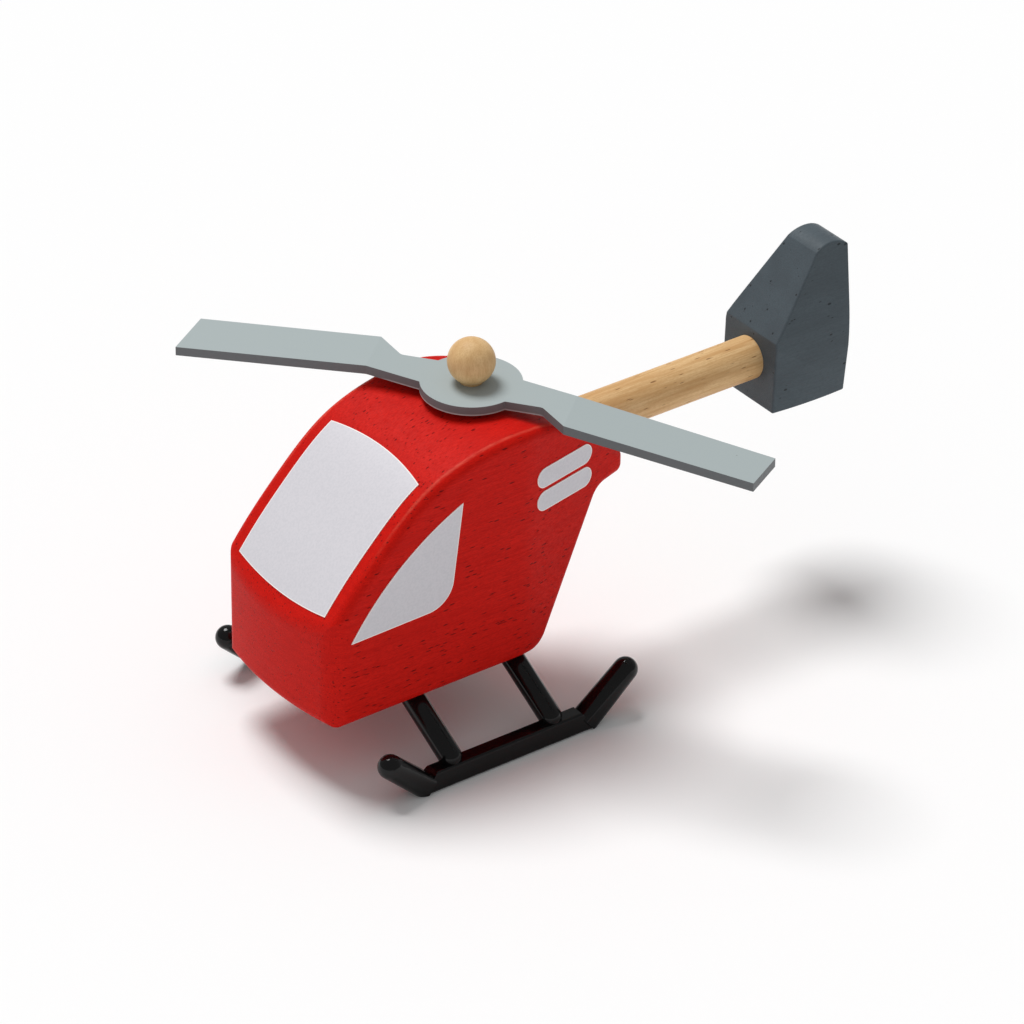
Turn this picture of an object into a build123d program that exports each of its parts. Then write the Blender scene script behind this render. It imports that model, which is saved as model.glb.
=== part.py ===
from build123d import *
import math
import os

# Toy helicopter: a solid wooden body with a dowel tail boom, a tail fin block, a moulded rotor that
# spins on a dowel axle under a ball knob, and one moulded landing gear screwed under the belly.
#
# Millimetres, +X towards the nose, +Y to port, +Z up, skids on z = 0. Lengthways places are
# "stations": the distance forward of the rotor axis. export() moves the origin from the rotor axis
# to the middle of the toy's footprint.

# ---- Driving dimensions -------------------------------------------------------------------------

# Body block
BODY_HALF_WIDTH = 24.8
BELLY_Z = 18.0
NOSE_STATION = 63.4
NOSE_BOW_RADIUS = 100.0
TAPER_STATION = -0.4
TAPER_ANGLE = 12.0
ROOF_POINTS = [(66.5, 39.4), (55.4, 55.2), (43.7, 67.9), (30.2, 79.2), (16.0, 84.6), (3.0, 86.2),
               (-10.0, 84.0), (-22.0, 77.6), (-30.2, 70.4)]
TAIL_LIP_STATION = -36.9
TAIL_LIP_TOP_Z = 64.2
TAIL_LIP_UNDERSIDE_Z = 58.2
TAIL_LIP_ROOT_STATION = -27.3
REAR_FACE_FOOT_STATION = -6.2
BROW_RADIUS = 7.0
LIP_RADIUS = 2.9
LIP_ROOT_RADIUS = 5.0
REAR_FOOT_RADIUS = 7.0
TAPER_BLEND_RADIUS = 25.0
BODY_EDGE_RADIUS = 2.8
NOSE_CORNER_RADIUS = 6.5
LIP_UNDERSIDE_FALL = 1.0
BODY_PLAN_LENGTH = 120.0
NOSE_REGION_STATION = 55.0
BELLY_EDGE_BAND = 1.0
SIDE_EDGE_MIN_Y = 12.0

# Tail boom (standard 12 mm dowel) and fin
BOOM_RADIUS = 6.0
BOOM_Z = 66.0
BOOM_FRONT_STATION = -10.0
FIN_FRONT_STATION = -91.3
FIN_REAR_FOOT_STATION = -115.1
FIN_REAR_TOP_STATION = -119.2
FIN_BOTTOM_Z = 53.5
FIN_KINK_Z = 74.6
FIN_KINK_SETBACK = 0.7
FIN_TOP_FRONT = (-108.4, 95.0)
FIN_TOP_REAR_Z = 94.6
FIN_TOP_CROWN = 1.7
FIN_FRONT_HALF_WIDTH = 11.0
FIN_MIDDLE_HALF_WIDTH = 12.0
FIN_REAR_HALF_WIDTH = 11.6
FIN_TOP_HALF_WIDTH = 6.4
FIN_EDGE_RADIUS = 0.6
FIN_SHOULDER_RADIUS = 80.0
FIN_SIDE_MARGIN = 0.05
BOOM_IN_FIN = 14.0

# Rotor, axle and knob
ROTOR_TOP_Z = 90.0
ROTOR_THICKNESS = 2.5
HUB_RADIUS = 13.35
BLADE_ANGLE = -60.3
ARM_ROOT_K = (9.0, -6.2)
ARM_ROOT_S = (9.0, 6.2)
ARM_KINKS = ((22.0, -4.5), (30.5, -10.6))
ARM_BEND = (27.8, 4.5)
BLADE_TIP = 81.5
BLADE_TIP_K = -7.6
BLADE_TIP_S = 7.2
BLADE_DROOP = 5.5
BLADE_PITCH_DROP = 0.8
KINK_RADIUS = 2.0
AXLE_RADIUS = 3.0
AXLE_CLEARANCE = 0.08
AXLE_BOTTOM_Z = 64.0
KNOB_RADIUS = 6.3
KNOB_CENTRE_ABOVE_ROTOR = 6.0
KNOB_GAP = 0.3
WASHER_RADIUS = 6.5
WASHER_SEAT_Z = 85.7
WASHER_GAP = 0.15

# Landing gear
TRACK_HALF = 37.1
RUNNER_SOLE_WIDTH = 6.2
RUNNER_TOP_WIDTH = 4.4
RUNNER_HEIGHT = 5.4
RUNNER_EDGE_RADIUS = 0.7
RUNNER_SOLE_ENDS = (-13.6, 44.6)
RUNNER_END_SETBACK = 1.2
FRONT_TIP = (51.8, 11.2)
REAR_TIP = (-23.4, 12.4)
TIP_RADIUS = 3.35
TIP_FOOT_WIDTH = 6.6
TIP_FOOT_EDGE_RADIUS = 2.2
TIP_FOOT_OVERLAP = 2.0
ARM_STATIONS = (0.2, 32.2)
ARM_RADIUS = 3.15
ARM_SEAT_DEPTH = 1.75
ARM_SLOPE = 29.0
ARM_FOOT_Y = 36.0
ARM_FOOT_Z = 6.2
ARM_BEND_RADIUS = 3.6
BOSS_RADIUS = 5.5
BOSS_HEIGHT = 5.6
SCREW_RADIUS = 1.5
SCREW_LENGTH = 15.0
SCREW_HEAD_RADIUS = 2.9
SCREW_HEAD_HEIGHT = 1.8
SCREW_RECESS_DEPTH = 1.2
SCREW_HEAD_ROOM = 0.3
SCREW_CROSS_WIDTH = 0.8
SCREW_CROSS_LENGTH = 3.4
SCREW_POINT_RADIUS = 0.2
SCREW_POINT_LENGTH = 3.0

# Stickers
STICKER_THICKNESS = 0.2
SHIELD_CUT_REACH = 20.0
SHIELD_TOP = (30.1, 79.0)
SHIELD_BOTTOM = (59.4, 50.0)
SHIELD_HALF_WIDTH = 19.3
SHIELD_TOP_BOW = 2.4
SHIELD_BOTTOM_BOW = 1.9
WINDOW_NOSE_CORNER = (55.2, 43.2)
WINDOW_FRONT_MIDDLE = (40.0, 60.6)
WINDOW_TOP_CORNER = (20.4, 73.0)
WINDOW_REAR_FOOT = (24.2, 43.8)
WINDOW_CORNER_RADIUS = 8.0
STRIPE_LENGTH = 21.0
STRIPE_WIDTH = 5.8
STRIPE_START = 3.3
STRIPE_CENTRES_Z = {"upper": 70.4, "lower": 63.5}

# Room left past an outline where a cut or a block has to run right through
MARGIN = 1.0
POINT_MATCH = 0.01


def slab(outline, half_width):
    """A side outline, drawn as (station, z), made into a slab about the middle plane."""
    port_side = Plane.XZ.offset(-half_width)
    return extrude(port_side * make_face(Curve() + outline), amount=2 * half_width)


def rod(radius, start, end):
    """A round bar between two points."""
    start = Vector(*start)
    line = Vector(*end) - start
    return extrude(Plane(origin=start, z_dir=line) * Circle(radius), amount=line.length)


def post(radius, station, bottom, top, y=0.0):
    """An upright round bar."""
    return rod(radius, (station, y, bottom), (station, y, top))


# ---- Body ---------------------------------------------------------------------------------------

def edge_at(solid, station, z):
    """The crosswise edge of a slab that passes through one corner of its side outline."""
    crosswise = solid.edges().filter_by(Axis.Y)
    return crosswise.sort_by(lambda e: (e.center().X - station) ** 2 + (e.center().Z - z) ** 2)[0]


def body_side_slab():
    """Side view: belly, slanted rear face, tail lip, and one long curve over roof and windshield."""
    lip_top = (TAIL_LIP_STATION, TAIL_LIP_TOP_Z)
    lip_bottom = (TAIL_LIP_STATION, TAIL_LIP_UNDERSIDE_Z)
    lip_root = (TAIL_LIP_ROOT_STATION, TAIL_LIP_UNDERSIDE_Z - LIP_UNDERSIDE_FALL)
    rear_foot = (REAR_FACE_FOOT_STATION, BELLY_Z)
    front_foot = (ROOF_POINTS[0][0], BELLY_Z)
    roof = Spline(*ROOF_POINTS, lip_top)
    rest = Polyline(lip_top, lip_bottom, lip_root, rear_foot, front_foot, ROOF_POINTS[0])
    block = slab([roof, rest], BODY_HALF_WIDTH + MARGIN)
    rounded = [(lip_top, LIP_RADIUS), (lip_bottom, LIP_RADIUS), (lip_root, LIP_ROOT_RADIUS),
               (rear_foot, REAR_FOOT_RADIUS)]
    for corner, radius in rounded:
        block = fillet(edge_at(block, *corner), radius)
    return block


def nose_arc():
    """Top view of the bowed nose, from its starboard to its port corner."""
    half = BODY_HALF_WIDTH
    nose_side = NOSE_STATION - NOSE_BOW_RADIUS + math.sqrt(NOSE_BOW_RADIUS ** 2 - half ** 2)
    return ThreePointArc((nose_side, -half), (NOSE_STATION, 0), (nose_side, half))


def rounded_nose_prism():
    """An upright prism that rounds the nose's two side corners and leaves the rest alone."""
    nose = nose_arc()
    starboard, port = nose @ 0, nose @ 1
    tail = NOSE_STATION - BODY_PLAN_LENGTH
    rest = Polyline(port, (tail, port.Y), (tail, starboard.Y), starboard)
    face = make_face(Curve() + [nose, rest])
    corners = face.vertices().filter_by(lambda v: abs(v.X - port.X) < POINT_MATCH)
    return extrude(fillet(corners, NOSE_CORNER_RADIUS), amount=BODY_PLAN_LENGTH)


def body_plan():
    """Top view: bowed nose, parallel sides, then sides that taper towards the tail."""
    half = BODY_HALF_WIDTH
    nose = nose_arc()
    nose_side = (nose @ 1).X
    taper_length = BODY_PLAN_LENGTH - NOSE_STATION + TAPER_STATION
    tail = TAPER_STATION - taper_length
    tail_half = half - taper_length * math.tan(math.radians(TAPER_ANGLE))
    rest = Polyline((nose_side, half), (TAPER_STATION, half), (tail, tail_half),
                    (tail, -tail_half), (TAPER_STATION, -half), (nose_side, -half))
    face = make_face(Curve() + [nose, rest])
    bends = face.vertices().filter_by(lambda v: abs(v.X - TAPER_STATION) < POINT_MATCH)
    return extrude(fillet(bends, TAPER_BLEND_RADIUS), amount=BODY_PLAN_LENGTH)


def body_block():
    """The outside of the wooden body: a softly rounded brow, and every other edge eased."""
    block = body_side_slab() & body_plan()
    brow = block.edges().filter_by(lambda edge: edge.center().X > NOSE_REGION_STATION
                                   and abs(edge.center().Y) < SIDE_EDGE_MIN_Y
                                   and edge.center().Z > BELLY_Z + BELLY_EDGE_BAND)
    block = fillet(brow, BROW_RADIUS)
    side_edges = block.edges().filter_by(lambda edge: abs(edge.center().Y) > SIDE_EDGE_MIN_Y)
    nose_foot = block.edges().filter_by(lambda edge: edge.center().X > NOSE_REGION_STATION
                                        and edge.center().Z < BELLY_Z + BELLY_EDGE_BAND)
    return fillet(side_edges + nose_foot, BODY_EDGE_RADIUS) & rounded_nose_prism()


def fuselage():
    """The body block with bores for boom, axle and screws, and seats for the washer and the arms."""
    body = body_block()
    body -= rod(BOOM_RADIUS, (BOOM_FRONT_STATION, 0, BOOM_Z), (TAIL_LIP_STATION - MARGIN, 0, BOOM_Z))
    body -= post(AXLE_RADIUS, 0, AXLE_BOTTOM_Z, ROTOR_TOP_Z)
    body -= post(WASHER_RADIUS, 0, WASHER_SEAT_Z, ROTOR_TOP_Z)
    for station in ARM_STATIONS:
        body -= arm_tube(station) + post(SCREW_RADIUS, station, BELLY_Z - MARGIN, screw_tip_z())
    return body


# ---- Tail ---------------------------------------------------------------------------------------

def tail_boom():
    return rod(BOOM_RADIUS, (BOOM_FRONT_STATION, 0, BOOM_Z), (FIN_FRONT_STATION - BOOM_IN_FIN, 0, BOOM_Z))


def fin_side_slab():
    """Side view: upright lower front, slanted upper front, slightly crowned top, leaning rear."""
    front_foot = (FIN_FRONT_STATION, FIN_BOTTOM_Z)
    kink = (FIN_FRONT_STATION - FIN_KINK_SETBACK, FIN_KINK_Z)
    top_rear = (FIN_REAR_TOP_STATION, FIN_TOP_REAR_Z)
    top_middle = ((FIN_TOP_FRONT[0] + top_rear[0]) / 2, FIN_TOP_FRONT[1] + FIN_TOP_CROWN)
    crown = ThreePointArc(FIN_TOP_FRONT, top_middle, top_rear)
    rest = Polyline(top_rear, (FIN_REAR_FOOT_STATION, FIN_BOTTOM_Z), front_foot, kink, FIN_TOP_FRONT)
    return slab([crown, rest], FIN_MIDDLE_HALF_WIDTH + MARGIN)


def fin_plan():
    """Top view: sides that swell gently between the front and the rear face."""
    front = FIN_FRONT_STATION
    rear = FIN_REAR_TOP_STATION
    middle = (front + rear) / 2
    port = ThreePointArc((front, FIN_FRONT_HALF_WIDTH), (middle, FIN_MIDDLE_HALF_WIDTH),
                         (rear, FIN_REAR_HALF_WIDTH))
    starboard = port.mirror(Plane.XZ)
    ends = [Line(port @ 0, starboard @ 0), Line(port @ 1, starboard @ 1)]
    return extrude(make_face(Curve() + [port, starboard, *ends]), amount=2 * FIN_TOP_REAR_Z)


def fin_front_view():
    """Front view: nearly upright sides that lean inwards above the shoulder."""
    half = FIN_MIDDLE_HALF_WIDTH + FIN_SIDE_MARGIN
    lean = (FIN_FRONT_HALF_WIDTH - FIN_TOP_HALF_WIDTH) / (FIN_TOP_REAR_Z - FIN_KINK_Z)
    shoulder_z = FIN_KINK_Z - (half - FIN_FRONT_HALF_WIDTH) / lean
    foot, top = FIN_BOTTOM_Z - MARGIN, FIN_TOP_REAR_Z + FIN_TOP_CROWN + MARGIN
    top_half = FIN_TOP_HALF_WIDTH - (top - FIN_TOP_REAR_Z) * lean
    face = make_face(Polyline((-half, foot), (half, foot), (half, shoulder_z), (top_half, top),
                              (-top_half, top), (-half, shoulder_z), close=True))
    shoulders = face.vertices().filter_by(lambda v: abs(v.Y - shoulder_z) < POINT_MATCH)
    front, rear = FIN_FRONT_STATION + MARGIN, FIN_REAR_TOP_STATION - MARGIN
    return extrude(Plane.YZ.offset(front) * fillet(shoulders, FIN_SHOULDER_RADIUS), amount=rear - front)


def tail_fin():
    block = fin_side_slab() & fin_plan() & fin_front_view()
    block = fillet(block.edges(), FIN_EDGE_RADIUS)
    return block - rod(BOOM_RADIUS, (FIN_FRONT_STATION + MARGIN, 0, BOOM_Z),
                       (FIN_FRONT_STATION - BOOM_IN_FIN, 0, BOOM_Z))


# ---- Rotor --------------------------------------------------------------------------------------

def rotor_arm():
    """One arm, pointing along +X with z = 0 at its top: a flat neck, then a drooping blade."""
    inner_kink, outer_kink = ARM_KINKS
    neck = make_face(Polyline(ARM_ROOT_K, inner_kink, outer_kink, ARM_BEND, ARM_ROOT_S, close=True))
    neck = fillet(neck.vertices().sort_by_distance(inner_kink)[0], KINK_RADIUS)
    neck = extrude(neck, amount=-ROTOR_THICKNESS)
    tip_k = (BLADE_TIP, BLADE_TIP_K, -BLADE_DROOP)
    tip_s = (BLADE_TIP, BLADE_TIP_S, -BLADE_DROOP - BLADE_PITCH_DROP)
    sections = []
    for k, s in [((*outer_kink, 0), (*ARM_BEND, 0)), (tip_k, tip_s)]:
        low_s = (s[0], s[1], s[2] - ROTOR_THICKNESS)
        low_k = (k[0], k[1], k[2] - ROTOR_THICKNESS)
        sections.append(make_face(Polyline(k, s, low_s, low_k, close=True)))
    return neck + loft(sections, ruled=True)


def rotor():
    disc = extrude(Circle(HUB_RADIUS), amount=-ROTOR_THICKNESS)
    arm = rotor_arm()
    shape = disc + arm + Rot(0, 0, 180) * arm
    shape -= extrude(Circle(AXLE_RADIUS + AXLE_CLEARANCE), amount=-ROTOR_THICKNESS)
    return Pos(0, 0, ROTOR_TOP_Z) * Rot(0, 0, BLADE_ANGLE) * shape


def rotor_axle():
    return post(AXLE_RADIUS, 0, AXLE_BOTTOM_Z, ROTOR_TOP_Z + KNOB_CENTRE_ABOVE_ROTOR)


def rotor_washer():
    top = ROTOR_TOP_Z - ROTOR_THICKNESS - WASHER_GAP
    ring = post(WASHER_RADIUS, 0, WASHER_SEAT_Z, top) - post(AXLE_RADIUS, 0, WASHER_SEAT_Z, top)
    return ring


def rotor_knob():
    centre = ROTOR_TOP_Z + KNOB_CENTRE_ABOVE_ROTOR
    ball = Pos(0, 0, centre) * Sphere(KNOB_RADIUS)
    ball -= post(KNOB_RADIUS, 0, centre - 2 * KNOB_RADIUS, ROTOR_TOP_Z + KNOB_GAP)
    return ball - post(AXLE_RADIUS, 0, ROTOR_TOP_Z, centre)


# ---- Landing gear -------------------------------------------------------------------------------

def arm_axis_z():
    return BELLY_Z + ARM_SEAT_DEPTH - ARM_RADIUS


def screw_tip_z():
    return BELLY_Z - BOSS_HEIGHT + SCREW_RECESS_DEPTH + SCREW_LENGTH


def tip_slope(sole_end, tip):
    """The upward angle of a tip whose underside starts at the end of the sole."""
    run = abs(tip[0] - sole_end)
    return math.atan2(tip[1], run) - math.asin(TIP_RADIUS / math.hypot(run, tip[1]))


def runner_tip(sole_end, tip):
    """A bar that rises from the end of the sole, nearly square at its foot and round at its ball end."""
    way = math.copysign(1, tip[0] - sole_end)
    slope = tip_slope(sole_end, tip)
    along = Vector(way * math.cos(slope), 0, math.sin(slope))
    ball = Vector(tip[0], TRACK_HALF, tip[1])
    rise = math.sqrt((tip[0] - sole_end) ** 2 + tip[1] ** 2 - TIP_RADIUS ** 2)
    foot = Plane(origin=ball - along * (rise + TIP_FOOT_OVERLAP), x_dir=(0, 1, 0), z_dir=along)
    end = Plane(origin=ball, x_dir=(0, 1, 0), z_dir=along)
    width = 2 * TIP_RADIUS
    bar = loft([foot * RectangleRounded(TIP_FOOT_WIDTH, width, TIP_FOOT_EDGE_RADIUS),
                end * Circle(TIP_RADIUS)], ruled=True)
    bar += end * Sphere(TIP_RADIUS, arc_size1=0, align=(Align.CENTER, Align.CENTER, Align.MIN))
    above_sole = Pos(tip[0], TRACK_HALF, tip[1]) * Box(4 * tip[1], 2 * width, 2 * tip[1])
    return bar & above_sole


def runner():
    """The port runner: a flat-soled bar on z = 0 between two upturned round tips."""
    (rear, front), top = RUNNER_SOLE_ENDS, RUNNER_HEIGHT
    rear_tip, front_tip = runner_tip(rear, REAR_TIP), runner_tip(front, FRONT_TIP)
    rear_lean = top * math.tan(tip_slope(rear, REAR_TIP))
    front_lean = top * math.tan(tip_slope(front, FRONT_TIP))
    rear, front = rear + RUNNER_END_SETBACK, front - RUNNER_END_SETBACK
    outline = Polyline((rear, 0), (front, 0), (front - front_lean, top), (rear + rear_lean, top), close=True)
    sole, ridge = RUNNER_SOLE_WIDTH / 2, RUNNER_TOP_WIDTH / 2
    section = make_face(Polyline((-sole, 0), (sole, 0), (ridge, top), (-ridge, top), close=True))
    bar = extrude(Plane.YZ.offset(rear) * section, amount=front - rear)
    bar = fillet(bar.edges().filter_by(Axis.X), RUNNER_EDGE_RADIUS) & slab([outline], RUNNER_SOLE_WIDTH)
    bar = Pos(0, TRACK_HALF, 0) * bar
    return bar + rear_tip + front_tip


def arm_tube(station):
    """A round arm from the port runner up to the belly, across it, and down again."""
    rise = arm_axis_z() - ARM_FOOT_Z
    bend_y = ARM_FOOT_Y - rise / math.tan(math.radians(ARM_SLOPE))
    foot, bend = (ARM_FOOT_Y, ARM_FOOT_Z), (bend_y, arm_axis_z())
    path = FilletPolyline(foot, bend, (-bend[0], bend[1]), (-foot[0], foot[1]), radius=ARM_BEND_RADIUS)
    path = Plane.YZ.offset(station) * path
    return sweep(Plane(origin=path @ 0, z_dir=path % 0) * Circle(ARM_RADIUS), path)


def cross_arm(station):
    """The arm with its ball feet and the boss for its screw."""
    arm = arm_tube(station)
    for side in (1, -1):
        arm += Pos(station, side * ARM_FOOT_Y, ARM_FOOT_Z) * Sphere(ARM_RADIUS)
    return arm + post(BOSS_RADIUS, station, BELLY_Z - BOSS_HEIGHT, BELLY_Z)


def landing_gear():
    gear = runner() + runner().mirror(Plane.XZ)
    for station in ARM_STATIONS:
        gear += cross_arm(station)
        bottom = BELLY_Z - BOSS_HEIGHT
        gear -= post(SCREW_RADIUS, station, bottom, BELLY_Z + ARM_SEAT_DEPTH)
        gear -= post(SCREW_HEAD_RADIUS + SCREW_HEAD_ROOM, station, bottom, bottom + SCREW_RECESS_DEPTH)
    return gear


def gear_screw(station):
    """Pan-head wood screw with a cross recess, head down."""
    seat = BELLY_Z - BOSS_HEIGHT + SCREW_RECESS_DEPTH
    head = fillet(post(SCREW_HEAD_RADIUS, station, seat - SCREW_HEAD_HEIGHT, seat).edges()
                  .sort_by(Axis.Z)[0], SCREW_HEAD_HEIGHT / 2)
    for angle in (0, 90):
        slot = Box(SCREW_CROSS_LENGTH, SCREW_CROSS_WIDTH, SCREW_HEAD_HEIGHT)
        head -= Pos(station, 0, seat - SCREW_HEAD_HEIGHT) * Rot(0, 0, angle) * slot
    shank = post(SCREW_RADIUS, station, seat, screw_tip_z() - SCREW_POINT_LENGTH)
    point = Cone(SCREW_RADIUS, SCREW_POINT_RADIUS, SCREW_POINT_LENGTH)
    return head + shank + Pos(station, 0, screw_tip_z() - SCREW_POINT_LENGTH / 2) * point


# ---- Stickers -----------------------------------------------------------------------------------

def windshield_sticker():
    """A thin sheet on the windshield curve, with straight sides and bowed top and bottom edges."""
    top, bottom = Vector(SHIELD_TOP[0], 0, SHIELD_TOP[1]), Vector(SHIELD_BOTTOM[0], 0, SHIELD_BOTTOM[1])
    down = (bottom - top).normalized()
    outward = Vector(0, 1, 0).cross(down) * -1
    half_length = (bottom - top).length / 2
    low, high = half_length, -half_length
    half = SHIELD_HALF_WIDTH
    outline = [
        ThreePointArc((high, -half), (high - SHIELD_TOP_BOW, 0), (high, half)),
        Line((high, half), (low, half)),
        ThreePointArc((low, half), (low + SHIELD_BOTTOM_BOW, 0), (low, -half)),
        Line((low, -half), (high, -half)),
    ]
    middle = Plane(origin=(top + bottom) * 0.5, x_dir=down, z_dir=outward)
    cutter = extrude(middle * make_face(Curve() + outline), amount=SHIELD_CUT_REACH, both=True)
    surface = body_side_slab()
    return (Pos(*(outward * STICKER_THICKNESS)) * surface & cutter) - surface


def port_window_sticker():
    """Bow-shaped front edge, straight sill, rounded lower rear corner."""
    front = ThreePointArc(WINDOW_NOSE_CORNER, WINDOW_FRONT_MIDDLE, WINDOW_TOP_CORNER)
    rest = Polyline(WINDOW_TOP_CORNER, WINDOW_REAR_FOOT, WINDOW_NOSE_CORNER)
    face = make_face(Curve() + [front, rest])
    corner = face.vertices().sort_by_distance(WINDOW_REAR_FOOT)[0]
    face = fillet(corner, WINDOW_CORNER_RADIUS)
    return extrude(Plane.XZ.offset(-BODY_HALF_WIDTH) * face, amount=-STICKER_THICKNESS)


def port_stripe_sticker(centre_z):
    """A round-ended bar that lies level on the tapered side of the tail."""
    angle = math.radians(TAPER_ANGLE)
    along = Vector(-math.cos(angle), -math.sin(angle), 0)
    outward = Vector(-math.sin(angle), math.cos(angle), 0)
    centre = Vector(TAPER_STATION, BODY_HALF_WIDTH, centre_z) + along * (STRIPE_START + STRIPE_LENGTH / 2)
    face = Plane(origin=centre, x_dir=along, z_dir=outward) * SlotOverall(STRIPE_LENGTH, STRIPE_WIDTH)
    return extrude(face, amount=STICKER_THICKNESS)


# ---- Hand-in ------------------------------------------------------------------------------------

def export(name, shape):
    """Write one node with the origin moved to the middle of the footprint."""
    middle_station = (NOSE_STATION + FIN_REAR_TOP_STATION) / 2
    export_step(Pos(-middle_station, 0, 0) * shape, f"parts/{name}.step")


def main():
    os.makedirs("parts", exist_ok=True)
    export("fuselage", fuselage())
    export("tail_boom", tail_boom())
    export("tail_fin", tail_fin())
    export("rotor", rotor())
    export("rotor_axle", rotor_axle())
    export("rotor_washer", rotor_washer())
    export("rotor_knob", rotor_knob())
    export("landing_gear", landing_gear())
    export("gear_screws", Compound([gear_screw(station) for station in ARM_STATIONS]))
    export("windshield_sticker", windshield_sticker())
    stickers = {"window_sticker": port_window_sticker()}
    for level, centre_z in STRIPE_CENTRES_Z.items():
        stickers[f"{level}_stripe"] = port_stripe_sticker(centre_z)
    for name, sticker in stickers.items():
        export(f"port_{name}", sticker)
        export(f"starboard_{name}", sticker.mirror(Plane.XZ))


main()
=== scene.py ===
import math

import bpy
from mathutils import Matrix, Vector

# Toy helicopter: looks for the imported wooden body, boom, fin, rotor, landing gear and stickers.
# Metres, +X towards the nose, +Y to port, +Z up, skids on z = 0.

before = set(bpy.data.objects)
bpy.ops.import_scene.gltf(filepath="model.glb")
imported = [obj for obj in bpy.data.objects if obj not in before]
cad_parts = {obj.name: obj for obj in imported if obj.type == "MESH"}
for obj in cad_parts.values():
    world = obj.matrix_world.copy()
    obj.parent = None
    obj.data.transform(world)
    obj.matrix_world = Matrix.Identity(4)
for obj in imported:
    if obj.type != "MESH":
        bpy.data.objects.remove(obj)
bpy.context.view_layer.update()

MM = 0.001

# ---- Driving values -----------------------------------------------------------------------------

# Camera: a long lens, from the front left and above
CAMERA_AZIMUTH = math.radians(53.41)
CAMERA_ELEVATION = math.radians(31.97)
CAMERA_ROLL = math.radians(0.65)
CAMERA_DISTANCE = 1.572
CAMERA_TARGET_AHEAD = 0.0144
CAMERA_TARGET_HEIGHT = 0.0454
CAMERA_LENS = 211.0
SENSOR_WIDTH = 36.0
CAMERA_CLIP = (0.05, 50.0)

# Light and floor. The floor lies a little below the skids, so that no two faces share a plane.
AMBIENT = 0.36
WHITE = (1.0, 1.0, 1.0, 1.0)
KEY_FROM = (0.03, -0.60, 1.28)
KEY_SPREAD = math.radians(26)
KEY_STRENGTH = 2.38
FLOOR_DROP = 0.00005
FLOOR_SIZE = 12.0
FLOOR_COLOUR = (0.95, 0.95, 0.95, 1.0)

# Sticker outlines as part.py draws them, in millimetres, points as (X, Z)
WINDOW_NOSE = (83.1, 43.2)
WINDOW_BOW = (67.9, 60.6)
WINDOW_TOP = (48.3, 73.0)
WINDOW_FOOT = (52.1, 43.8)
WINDOW_ROUNDING = 8.0
STRIPE_MIDDLE_X = 14.0
STRIPE_MIDDLES_Z = (70.4, 63.5)
STRIPE_STRAIGHT = 7.6
STRIPE_HALF_WIDTH = 2.9
STRIPE_TURN = math.radians(12)
SHIELD_TOP = (58.0, 79.0)
SHIELD_BOTTOM = (87.3, 50.0)
SHIELD_HALF_WIDTH = 19.3
SHIELD_BOWS = (2.4, 1.9)
# The painted highlight round each sticker's rim: its width, and how far in it stays full, in millimetres
RIM_WIDTH = 0.32
RIM_SOLID = 0.6 * RIM_WIDTH

# The painted highlight along the arris of the body, between roof and sides: where it fades out towards the
# brow, in millimetres, how far its normal leans sideways where it begins and where it ends, and how far up
# the normal has to point
ARRIS_FADE_X = (58.0, 80.0)
ARRIS_BEGINS = (0.10, 0.24)
ARRIS_ENDS = (0.32, 0.52)
ARRIS_UPWARD = (0.35, 0.60)

# Rotor, in millimetres: its axis, and the pale line round the foot of its hub
ROTOR_AXIS_X = 27.9
HUB_FOOT_LINE_Z = (87.75, 87.95)
HUB_FOOT_LINE_REACH = (20.0, 25.0)

# Wood grain, in millimetres: sizes along and across the grain, or along X, Y and Z, and depths
STREAK_SIZE = (9.0, 0.4)
FIBRE_SIZE = (0.9, 0.3)
PATCH_SIZE = (16, 10, 10)
STREAK_RELIEF = 0.02
FIBRE_RELIEF = 0.04
PORE_RELIEF = 0.10

# Marks in plastic, film and steel, in millimetres along X, Y and Z; the specks' radius is in cells
SPECK_SPACING = (9, 9, 9)
SPECK_RADIUS = 0.035
MOULD_WAVES = (6, 6, 6)
MOULD_SMEARS = (2.5, 2.5, 2.5)
WASHER_GRAIN = (0.6, 0.6, 0.6)
FILM_GRAIN = (0.7, 0.7, 0.7)
BRUSHING = (0.15, 1.5, 1.5)

# Colours
RED = (0.690, 0.0105, 0.0050, 1.0)
RED_DEEP = (0.480, 0.0050, 0.0030, 1.0)
RED_PORE = (0.130, 0.002, 0.002, 1.0)
# Paler red, painted as a highlight along the body's arris
RED_ARRIS_HIGHLIGHT = (0.800, 0.110, 0.070, 1.0)
DOWEL = (0.800, 0.540, 0.270, 1.0)
DOWEL_DARK = (0.560, 0.300, 0.110, 1.0)
DOWEL_PORE = (0.270, 0.120, 0.040, 1.0)
SLATE = (0.088, 0.112, 0.128, 1.0)
SLATE_DARK = (0.068, 0.083, 0.095, 1.0)
SLATE_PORE = (0.018, 0.021, 0.024, 1.0)
ROTOR_TOP = (0.390, 0.445, 0.448, 1.0)
ROTOR_EDGE = (0.150, 0.158, 0.165, 1.0)
ROTOR_FOOT_PALE = (0.420, 0.420, 0.420, 1.0)
SPECK = (0.160, 0.170, 0.170, 1.0)
FILM = (0.735, 0.715, 0.755, 1.0)
FILM_MOTTLE = (0.690, 0.675, 0.715, 1.0)
# Near white, painted as a highlight on the stickers' cut edges and rims
FILM_RIM_HIGHLIGHT = (0.980, 0.930, 0.900, 1.0)
BLACK = (0.0040, 0.0040, 0.0042, 1.0)
DARK_WASHER = (0.020, 0.018, 0.017, 1.0)
STEEL = (0.550, 0.550, 0.560, 1.0)
STEEL_DARK = (0.400, 0.400, 0.420, 1.0)


# ---- Shader helpers -----------------------------------------------------------------------------

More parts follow.
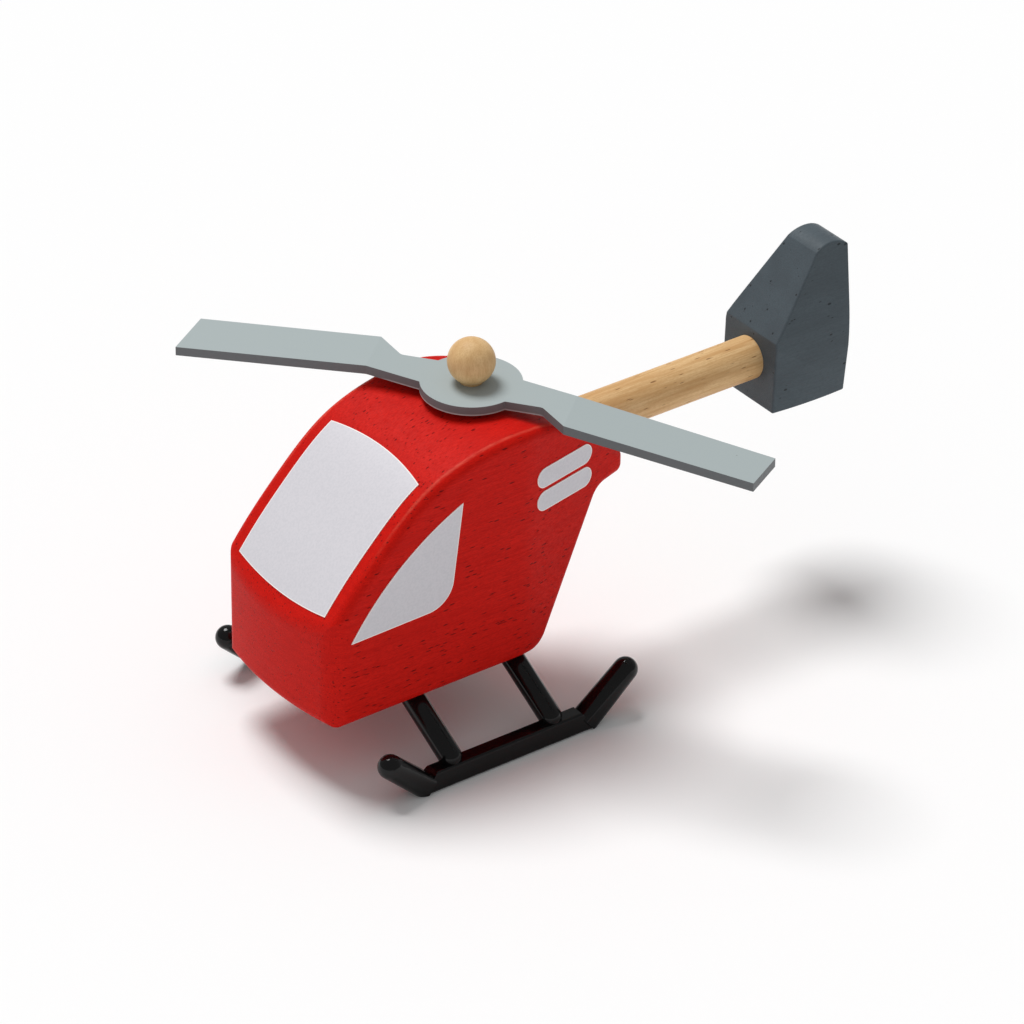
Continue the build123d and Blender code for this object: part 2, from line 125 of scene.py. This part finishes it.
class Shader:
    """A material being built round one Principled shader."""

    def __init__(self, name, **uniform):
        self.material = bpy.data.materials.new(name)
        self.material.use_nodes = True
        self.tree = self.material.node_tree
        self.surface = self.tree.nodes["Principled BSDF"]
        for socket, value in uniform.items():
            self.surface.inputs[socket.replace("_", " ")].default_value = value

    def node(self, kind, inputs=None, **settings):
        """Adds a node, sets its properties, and links or sets its inputs."""
        made = self.tree.nodes.new(kind)
        for name, value in settings.items():
            setattr(made, name, value)
        for key, value in (inputs or {}).items():
            if isinstance(value, bpy.types.NodeSocket):
                self.tree.links.new(value, made.inputs[key])
            else:
                made.inputs[key].default_value = value
        return made

    def place(self, stretch=(1, 1, 1)):
        """The piece's own coordinates in millimetres, divided by a stretch for each axis."""
        own = self.node("ShaderNodeTexCoord").outputs["Object"]
        scale = [1 / (MM * s) for s in stretch]
        return self.node("ShaderNodeMapping", {"Vector": own, "Scale": scale}).outputs["Vector"]

    def noise(self, where, scale=1.0, detail=3.0, roughness=0.55):
        inputs = {"Vector": where, "Scale": scale, "Detail": detail, "Roughness": roughness}
        return self.node("ShaderNodeTexNoise", inputs).outputs["Fac"]

    def spots(self, where, radius, scale=1.0):
        """1 at the middle of each scattered cell, falling to 0 at the radius, in cells."""
        cells = self.node("ShaderNodeTexVoronoi", {"Vector": where, "Scale": scale})
        return self.ramp(cells.outputs["Distance"], radius, 0.45 * radius)

    def ramp(self, value, start, end, low=0.0, high=1.0):
        """Maps start..end smoothly to low..high."""
        inputs = {"Value": value, "From Min": start, "From Max": end, "To Min": low, "To Max": high}
        return self.node("ShaderNodeMapRange", inputs, interpolation_type="SMOOTHSTEP").outputs["Result"]

    def maths(self, operation, a, b=0.0):
        return self.node("ShaderNodeMath", {0: a, 1: b}, operation=operation).outputs[0]

    def vector_maths(self, operation, a, b=(0, 0, 0), output="Value"):
        return self.node("ShaderNodeVectorMath", {0: a, 1: b}, operation=operation).outputs[output]

    def parts(self, vector):
        """A vector's X, Y and Z."""
        return self.node("ShaderNodeSeparateXYZ", {"Vector": vector}).outputs

    def normal(self, kind="Normal"):
        return self.parts(self.node("ShaderNodeNewGeometry").outputs[kind])

    def mix(self, a, b, factor):
        inputs = {0: factor, 6: a, 7: b}
        return self.node("ShaderNodeMix", inputs, data_type="RGBA").outputs[2]

    def bump(self, height, distance, strength=1.0, under=None):
        inputs = {"Height": height, "Distance": distance, "Strength": strength}
        if under is not None:
            inputs["Normal"] = under
        return self.node("ShaderNodeBump", inputs).outputs["Normal"]

    def finish(self, colour=None, roughness=None, normal=None):
        for name, value in (("Base Color", colour), ("Roughness", roughness), ("Normal", normal)):
            if value is not None:
                self.tree.links.new(value, self.surface.inputs[name])
        return self.material


def along_axis(axis, length, across, height=None):
    """A stretch with one long direction: the grain's length, then its width and height."""
    stretch = {"X": (length, across, height or across), "Z": (across, across, length)}
    return stretch[axis]


# ---- Wood ---------------------------------------------------------------------------------------

def wood(shader, colours, axis="X", figure=(60, 7, 1.6), figure_depth=0.3, streaks=0.3, grit=0.3,
         pore=(6.0, 0.85), pore_radius=0.22, coarse=(7.5, 1.8), coarse_radius=0.15, pore_depth=0.85):
    """Stained or plain wood: growth figure, fine streaks, and open pores that run with the grain."""
    light, dark, pore_colour = colours
    broad = shader.noise(shader.place(along_axis(axis, *figure)), detail=4)
    broad = shader.ramp(broad, 0.36, 0.68, 0.0, figure_depth)
    fine = shader.noise(shader.place(along_axis(axis, *STREAK_SIZE)), detail=2)
    fine = shader.ramp(fine, 0.42, 0.72, 0.0, streaks)
    colour = shader.mix(light, dark, broad)
    colour = shader.mix(colour, dark, fine)
    rough_fibre = shader.noise(shader.place(along_axis(axis, *FIBRE_SIZE)), detail=2)
    rough_fibre = shader.ramp(rough_fibre, 0.40, 0.68, 0.0, grit)
    colour = shader.mix(colour, dark, rough_fibre)

    small = shader.spots(shader.place(along_axis(axis, *pore)), pore_radius)
    large = shader.spots(shader.place(along_axis(axis, *coarse)), coarse_radius)
    patches = shader.noise(shader.place(PATCH_SIZE), detail=1)
    patches = shader.ramp(patches, 0.38, 0.60, 0.25, 1.0)
    small = shader.maths("MULTIPLY", small, patches)
    open_grain = shader.maths("MAXIMUM", small, large)
    colour = shader.mix(colour, pore_colour, shader.ramp(open_grain, 0.0, 1.0, 0.0, pore_depth))

    relief = shader.bump(fine, STREAK_RELIEF * MM, 0.35)
    relief = shader.bump(rough_fibre, FIBRE_RELIEF * MM, 0.5, relief)
    sunken = shader.ramp(open_grain, 0.0, 1.0, 1.0, 0.0)
    relief = shader.bump(sunken, PORE_RELIEF * MM, 0.7, relief)
    return colour, fine, relief


def red_wood():
    """Red-stained block, with a painted highlight in paler red along the arris between roof and sides."""
    shader = Shader("red_stained_wood", Specular_IOR_Level=0.07)
    colour, fine, relief = wood(shader, (RED, RED_DEEP, RED_PORE), figure=(45, 6, 1.3),
                                figure_depth=0.35, streaks=0.45, grit=0.55, pore=(5.0, 0.80),
                                pore_radius=0.24)
    # Painted highlight: paler red along the arris, where the normal leans partly sideways and partly up,
    # fading out towards the brow
    normal = shader.normal()
    sideways = shader.maths("ABSOLUTE", normal["Y"])
    begun = shader.ramp(sideways, *ARRIS_BEGINS)
    arris = shader.maths("MULTIPLY", begun, shader.ramp(sideways, *reversed(ARRIS_ENDS)))
    arris = shader.maths("MULTIPLY", arris, shader.ramp(normal["Z"], *ARRIS_UPWARD))
    along = shader.parts(shader.place())["X"]
    arris = shader.maths("MULTIPLY", arris, shader.ramp(along, *reversed(ARRIS_FADE_X)))
    # Noise breaks the painted highlight up along its length
    highlight_breakup = shader.ramp(shader.noise(shader.place((5, 1.2, 1.2)), detail=3), 0.30, 0.62, 0.15, 0.55)
    colour = shader.mix(colour, RED_ARRIS_HIGHLIGHT, shader.maths("MULTIPLY", arris, highlight_breakup))
    return shader.finish(colour, shader.ramp(fine, 0.0, 0.3, 0.46, 0.58), relief)


def slate_wood():
    """Slate-stained fin with a few dark pores."""
    shader = Shader("slate_stained_wood", Specular_IOR_Level=0.14)
    colour, fine, relief = wood(shader, (SLATE, SLATE_DARK, SLATE_PORE), figure=(40, 9, 6), figure_depth=0.5,
                                streaks=0.35, grit=0.5, pore=(4.0, 1.2), pore_radius=0.15,
                                coarse=(7.0, 3.4), coarse_radius=0.12, pore_depth=0.75)
    return shader.finish(colour, shader.ramp(fine, 0.0, 0.25, 0.40, 0.52), relief)


def boom_wood():
    """Plain hardwood dowel with brown streaks and short dark dashes."""
    shader = Shader("boom_wood", Specular_IOR_Level=0.2)
    colour, fine, relief = wood(shader, (DOWEL, DOWEL_DARK, DOWEL_PORE), figure=(30, 2.0, 2.0),
                                figure_depth=0.75, streaks=0.5, pore=(6.0, 0.9), pore_radius=0.21,
                                coarse=(10.0, 2.2), coarse_radius=0.14, pore_depth=0.8)
    return shader.finish(colour, shader.ramp(fine, 0.0, 0.5, 0.46, 0.62), relief)


def knob_wood():
    """The same wood turned, with its grain upright: soft figure and hardly any pores."""
    shader = Shader("knob_wood", Specular_IOR_Level=0.2)
    colour, fine, relief = wood(shader, (DOWEL, DOWEL_DARK, DOWEL_PORE), axis="Z", figure=(14, 3.0, 3.0),
                                figure_depth=0.45, streaks=0.22, pore=(4.0, 1.3), pore_radius=0.12,
                                coarse=(6.0, 3.0), coarse_radius=0.07, pore_depth=0.5)
    return shader.finish(colour, shader.ramp(fine, 0.0, 0.2, 0.46, 0.58), relief)


# ---- Plastic, film and steel --------------------------------------------------------------------

def rotor_plastic():
    """Pale grey-green matte faces with darker trimmed edges, faintly speckled, and a pale line round
    the foot of the hub."""
    shader = Shader("rotor_plastic", Specular_IOR_Level=0.3)
    grit = shader.noise(shader.place(), scale=2.2, detail=2)
    flat = shader.ramp(shader.maths("ABSOLUTE", shader.normal("True Normal")["Z"]), 0.55, 0.85)
    own = shader.place()
    height = shader.parts(own)["Z"]
    foot = shader.ramp(height, *reversed(HUB_FOOT_LINE_Z))
    axis = shader.node("ShaderNodeCombineXYZ", {0: ROTOR_AXIS_X, 1: 0.0, 2: height}).outputs[0]
    reach = shader.vector_maths("DISTANCE", own, axis)
    # A paler band along the lowest part of the hub's edge, close to the axis
    pale_foot = shader.maths("MULTIPLY", foot, shader.ramp(reach, *reversed(HUB_FOOT_LINE_REACH)))
    colour = shader.mix(shader.mix(ROTOR_EDGE, ROTOR_FOOT_PALE, pale_foot), ROTOR_TOP, flat)
    specks = shader.spots(shader.place(SPECK_SPACING), SPECK_RADIUS)
    colour = shader.mix(colour, SPECK, specks)
    rough = shader.ramp(grit, 0.3, 0.7, 0.44, 0.58)
    return shader.finish(colour, rough, shader.bump(grit, 0.03 * MM, 0.25))


def black_plastic():
    """Glossy moulded black with the faint unevenness of a moulding."""
    shader = Shader("black_plastic", Base_Color=BLACK, Specular_IOR_Level=0.25)
    waves = shader.noise(shader.place(MOULD_WAVES), detail=1)
    smears = shader.noise(shader.place(MOULD_SMEARS), detail=3)
    rough = shader.ramp(smears, 0.35, 0.75, 0.07, 0.15)
    return shader.finish(None, rough, shader.bump(waves, 0.25 * MM, 0.3))


def washer_plastic():
    """Dark matte plastic with a fine grain."""
    shader = Shader("washer_plastic", Base_Color=DARK_WASHER, Specular_IOR_Level=0.3)
    grain = shader.noise(shader.place(WASHER_GRAIN), detail=2)
    rough = shader.ramp(grain, 0.3, 0.7, 0.5, 0.7)
    return shader.finish(None, rough, shader.bump(grain, 0.02 * MM, 0.3))


def sticker_film(name, facing, inside):
    """Silver-grey film with a painted highlight on its cut edge and along a thin rim of its face. facing
    tells its face from its cut edge by the normal, and inside gives how far a point of the face lies in from
    the outline, in millimetres."""
    shader = Shader(name, Specular_IOR_Level=0.25)
    mottle = shader.noise(shader.place(FILM_GRAIN), detail=3)
    colour = shader.mix(FILM, FILM_MOTTLE, shader.ramp(mottle, 0.35, 0.68))
    # Painted highlight: the cut edge, and a thin rim of the face inside the outline, turn near white
    face = facing(shader, shader.normal("True Normal"))
    face = shader.maths("MULTIPLY", face, shader.ramp(inside(shader), RIM_SOLID, RIM_WIDTH))
    colour = shader.mix(FILM_RIM_HIGHLIGHT, colour, face)
    rough = shader.ramp(mottle, 0.3, 0.7, 0.40, 0.52)
    return shader.finish(colour, rough, shader.bump(mottle, 0.01 * MM, 0.3))


def faces_sideways(shader, normal):
    return shader.ramp(shader.maths("ABSOLUTE", normal["Y"]), 0.5, 0.7)


def faces_up_and_ahead(shader, normal):
    return shader.ramp(shader.maths("MULTIPLY", normal["X"], normal["Z"]), 0.05, 0.12)


def inside_line(shader, where, start, end):
    """How far a point lies to the left of a line in the XZ plane, and the line's normal and offset."""
    across = Vector((start[1] - end[1], end[0] - start[0])).normalized()
    offset = -across.dot(Vector(start))
    reach = shader.vector_maths("DOT_PRODUCT", where, (across.x, 0, across.y))
    return shader.maths("ADD", reach, offset), (across, offset)


def inside_circle(shader, where, middle, radius):
    out = shader.vector_maths("DISTANCE", where, (middle[0], 0, middle[1]))
    return shader.maths("SUBTRACT", radius, out)


def circle_through(a, b, c):
    """Middle and radius of the circle through three points."""
    rows = Matrix(((b[0] - a[0], b[1] - a[1]), (c[0] - b[0], c[1] - b[1])))
    sums = [(q[0] ** 2 - p[0] ** 2 + q[1] ** 2 - p[1] ** 2) / 2 for p, q in ((a, b), (b, c))]
    middle = rows.inverted() @ Vector(sums)
    return middle, (middle - Vector(a)).length


def inside_window(shader):
    """A bowed upper edge, and a straight rear edge and sill with a rounded corner between them."""
    where = shader.vector_maths("MULTIPLY", shader.place(), (1, 0, 1), "Vector")
    bow = inside_circle(shader, where, *circle_through(WINDOW_NOSE, WINDOW_BOW, WINDOW_TOP))
    rear, rear_line = inside_line(shader, where, WINDOW_TOP, WINDOW_FOOT)
    sill, sill_line = inside_line(shader, where, WINDOW_FOOT, WINDOW_NOSE)
    rows = Matrix((rear_line[0], sill_line[0]))
    middle = rows.inverted() @ Vector((WINDOW_ROUNDING - rear_line[1], WINDOW_ROUNDING - sill_line[1]))
    rounded = inside_circle(shader, where, middle, WINDOW_ROUNDING)
    near = shader.maths("LESS_THAN", shader.maths("MAXIMUM", rear, sill), WINDOW_ROUNDING)
    straight = shader.maths("MINIMUM", rear, sill)
    edge = shader.node("ShaderNodeMix", {0: near, 2: straight, 3: rounded}).outputs[0]
    return shader.maths("MINIMUM", edge, bow)


def inside_stripe(shader):
    """Two level stripes, one above the other, with round ends."""
    parts = shader.parts(shader.place())
    along = shader.maths("ABSOLUTE", shader.maths("SUBTRACT", parts["X"], STRIPE_MIDDLE_X))
    along = shader.maths("DIVIDE", along, math.cos(STRIPE_TURN))
    past = shader.maths("MAXIMUM", shader.maths("SUBTRACT", along, STRIPE_STRAIGHT), 0.0)
    levels = [shader.maths("ABSOLUTE", shader.maths("SUBTRACT", parts["Z"], level))
              for level in STRIPE_MIDDLES_Z]
    level = shader.maths("MINIMUM", *levels)
    off = shader.node("ShaderNodeCombineXYZ", {0: past, 1: level, 2: 0.0}).outputs[0]
    return shader.maths("SUBTRACT", STRIPE_HALF_WIDTH, shader.vector_maths("LENGTH", off))


def inside_shield(shader):
    """Straight sides, and bowed edges at the top and bottom of the windshield's slope."""
    own = shader.place()
    across = shader.maths("ABSOLUTE", shader.parts(own)["Y"])
    sides = shader.maths("SUBTRACT", SHIELD_HALF_WIDTH, across)
    share = shader.maths("DIVIDE", across, SHIELD_HALF_WIDTH)
    bulge = shader.maths("SUBTRACT", 1.0, shader.maths("MULTIPLY", share, share))
    top, bottom = Vector(SHIELD_TOP), Vector(SHIELD_BOTTOM)
    down = (bottom - top).normalized()
    slide = shader.vector_maths("DOT_PRODUCT", own, (down.x, 0, down.y))
    above = shader.maths("ADD", shader.maths("SUBTRACT", slide, down.dot(top)),
                         shader.maths("MULTIPLY", bulge, SHIELD_BOWS[0]))
    below = shader.maths("ADD", shader.maths("SUBTRACT", down.dot(bottom), slide),
                         shader.maths("MULTIPLY", bulge, SHIELD_BOWS[1]))
    return shader.maths("MINIMUM", sides, shader.maths("MINIMUM", above, below))


def screw_steel():
    """Zinc-plated steel, faintly brushed."""
    shader = Shader("screw_steel", Metallic=1.0)
    brushing = shader.noise(shader.place(BRUSHING), detail=3)
    colour = shader.mix(STEEL, STEEL_DARK, shader.ramp(brushing, 0.35, 0.7))
    rough = shader.ramp(brushing, 0.3, 0.7, 0.28, 0.45)
    return shader.finish(colour, rough, shader.bump(brushing, 0.01 * MM, 0.4))


def dress(material, *nodes):
    """Gives CAD nodes a finished material."""
    for name in nodes:
        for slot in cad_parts[name].material_slots:
            slot.link = "OBJECT"
            slot.material = material


def dress_all():
    dress(red_wood(), "fuselage")
    dress(slate_wood(), "tail_fin")
    dress(boom_wood(), "tail_boom")
    dress(knob_wood(), "rotor_knob", "rotor_axle")
    dress(rotor_plastic(), "rotor")
    dress(washer_plastic(), "rotor_washer")
    dress(black_plastic(), "landing_gear")
    dress(screw_steel(), "gear_screws")
    dress(sticker_film("windshield_film", faces_up_and_ahead, inside_shield), "windshield_sticker")
    dress(sticker_film("window_film", faces_sideways, inside_window),
          "port_window_sticker", "starboard_window_sticker")
    dress(sticker_film("stripe_film", faces_sideways, inside_stripe),
          "port_upper_stripe", "port_lower_stripe", "starboard_upper_stripe", "starboard_lower_stripe")


# ---- Floor, light and camera --------------------------------------------------------------------

def floor():
    half, low = FLOOR_SIZE / 2, -FLOOR_DROP
    mesh = bpy.data.meshes.new("floor")
    corners = [(-half, -half, low), (half, -half, low), (half, half, low), (-half, half, low)]
    mesh.from_pydata(corners, [], [(0, 1, 2, 3)])
    made = bpy.data.objects.new("floor", mesh)
    bpy.context.scene.collection.objects.link(made)
    shader = Shader("floor_paper", Base_Color=FLOOR_COLOUR, Roughness=0.9, Specular_IOR_Level=0.0)
    mesh.materials.append(shader.material)


def key_light():
    """One broad, distant source, which lights the floor evenly right out to its edge."""
    lamp = bpy.data.lights.new("key", "SUN")
    lamp.angle = KEY_SPREAD
    lamp.energy = KEY_STRENGTH
    made = bpy.data.objects.new("key", lamp)
    made.rotation_euler = Vector(KEY_FROM).to_track_quat("Z", "Y").to_euler()
    bpy.context.scene.collection.objects.link(made)


def lights():
    world = bpy.data.worlds.new("studio")
    world.use_nodes = True
    background = world.node_tree.nodes["Background"]
    background.inputs["Color"].default_value = WHITE
    background.inputs["Strength"].default_value = AMBIENT
    bpy.context.scene.world = world
    key_light()


def camera():
    lens = bpy.data.cameras.new("camera")
    lens.lens, lens.sensor_width = CAMERA_LENS, SENSOR_WIDTH
    lens.clip_start, lens.clip_end = CAMERA_CLIP
    flat = math.cos(CAMERA_ELEVATION)
    ahead, aside = math.cos(CAMERA_AZIMUTH), math.sin(CAMERA_AZIMUTH)
    back = Vector((ahead * flat, aside * flat, math.sin(CAMERA_ELEVATION)))
    right = Vector((-aside, ahead, 0))
    level = Matrix((right, back.cross(right), back)).transposed()
    turn = level @ Matrix.Rotation(CAMERA_ROLL, 3, "Z")
    made = bpy.data.objects.new("camera", lens)
    target = Vector((CAMERA_TARGET_AHEAD, 0, CAMERA_TARGET_HEIGHT))
    made.matrix_world = Matrix.Translation(target + back * CAMERA_DISTANCE) @ turn.to_4x4()
    bpy.context.scene.collection.objects.link(made)
    bpy.context.scene.camera = made


# ---- The scene ----------------------------------------------------------------------------------

dress_all()
floor()
lights()
camera()
bpy.context.scene.view_settings.view_transform = "Standard"
